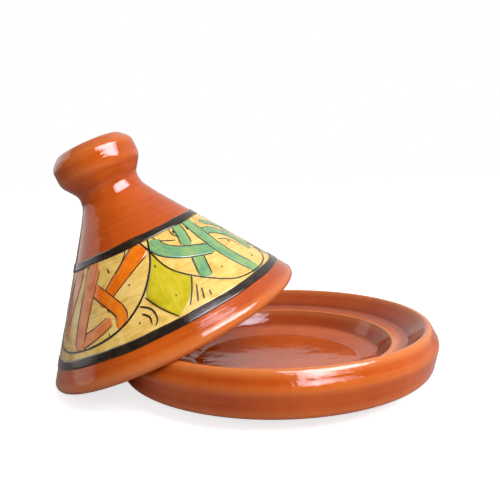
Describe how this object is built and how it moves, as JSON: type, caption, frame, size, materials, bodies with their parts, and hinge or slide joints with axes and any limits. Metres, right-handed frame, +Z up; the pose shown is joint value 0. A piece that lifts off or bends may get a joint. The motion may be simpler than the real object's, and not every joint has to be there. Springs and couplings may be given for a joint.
{
  "type": "tagine pot",
  "caption": "Round glazed clay serving dish with a stepped lid ledge, and its tall cone-shaped lid with a painted band and knob, leaning on the dish's rim.",
  "frame": {"origin": "centre of the dish's flat foot, on the surface it stands on", "axes": "+Z up along the dish's axis; the lid leans towards -X; the XZ plane is the plane of symmetry"},
  "size_m": [0.3226, 0.27, 0.2089],
  "materials": {
    "terracotta_glaze": "clear glaze over red clay, glossy",
    "yellow_slip": "brushed pale yellow slip under the clear glaze, glossy",
    "black_slip": "brushed black slip under the clear glaze, glossy"
  },
  "bodies": {
    "dish": {"dish": "terracotta_glaze"},
    "lid": {"lid": "terracotta_glaze", "band_ground": "yellow_slip", "band_line_low": "black_slip", "band_line_high": "black_slip"}
  },
  "joints": [
    {"name": "lid_lift", "type": "slide", "parent": "dish", "child": "lid", "axis": [0, 0, 1], "range_m": [0, 0.2]}
  ]
}
